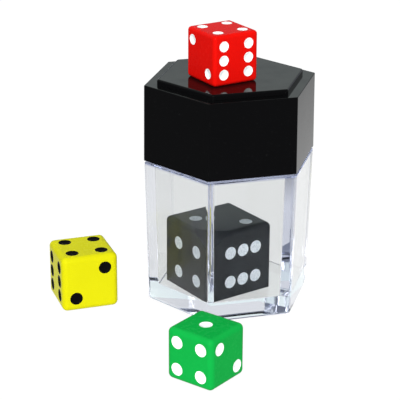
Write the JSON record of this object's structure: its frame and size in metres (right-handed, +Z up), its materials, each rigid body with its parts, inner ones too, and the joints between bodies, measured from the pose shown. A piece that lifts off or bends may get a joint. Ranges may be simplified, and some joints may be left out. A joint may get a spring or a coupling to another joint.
{
  "type": "dice jumping case",
  "caption": "Clear hexagonal case with a push-on black cap, a hollow large die that jumps up into the cap, and loose small dice",
  "frame": {"origin": "centre of the clear container's flat underside", "axes": "+Z up out of the container, one flat of the hexagon faces -Y, a corner of the hexagon points to +X"},
  "size_m": [0.0863, 0.0939, 0.0912],
  "materials": {
    "clear_case": "clear moulded polystyrene, polished",
    "black_cap": "glossy black polystyrene",
    "soft_ring": "soft black elastomer",
    "grey_shell": "satin dark grey moulded plastic",
    "grey_pips": "matt pale grey-blue inlay",
    "red_plastic": "glossy red acrylic",
    "white_paint": "white enamel paint",
    "yellow_plastic": "glossy yellow acrylic",
    "black_paint": "black enamel paint",
    "green_plastic": "glossy green acrylic"
  },
  "bodies": {
    "container": {"container": "clear_case"},
    "cap": {"cap": "black_cap", "grip_ring": "soft_ring"},
    "large_die": {"large_die_shell": "grey_shell", "large_die_pips": "grey_pips"},
    "red_die": {"red_die": "red_plastic", "red_die_pips": "white_paint"},
    "yellow_die": {"yellow_die": "yellow_plastic", "yellow_die_pips": "black_paint"},
    "green_die": {"green_die": "green_plastic", "green_die_pips": "white_paint"}
  },
  "joints": [
    {"name": "cap_lift", "type": "slide", "parent": "container", "child": "cap", "axis": [0, 0, 1], "range_m": [0, 0.06]},
    {"name": "shell_jump", "type": "slide", "parent": "container", "child": "large_die", "axis": [0.0957, 0.0879, 0.9915], "range_m": [0, 0.04493]},
    {"name": "red_die_lift", "type": "slide", "parent": "cap", "child": "red_die", "axis": [0, 0, 1], "range_m": [0, 0.03]},
    {"name": "yellow_die_lift", "type": "slide", "parent": "container", "child": "yellow_die", "axis": [0, 0, 1], "range_m": [0, 0.03]},
    {"name": "green_die_lift", "type": "slide", "parent": "container", "child": "green_die", "axis": [0, 0, 1], "range_m": [0, 0.03]}
  ]
}
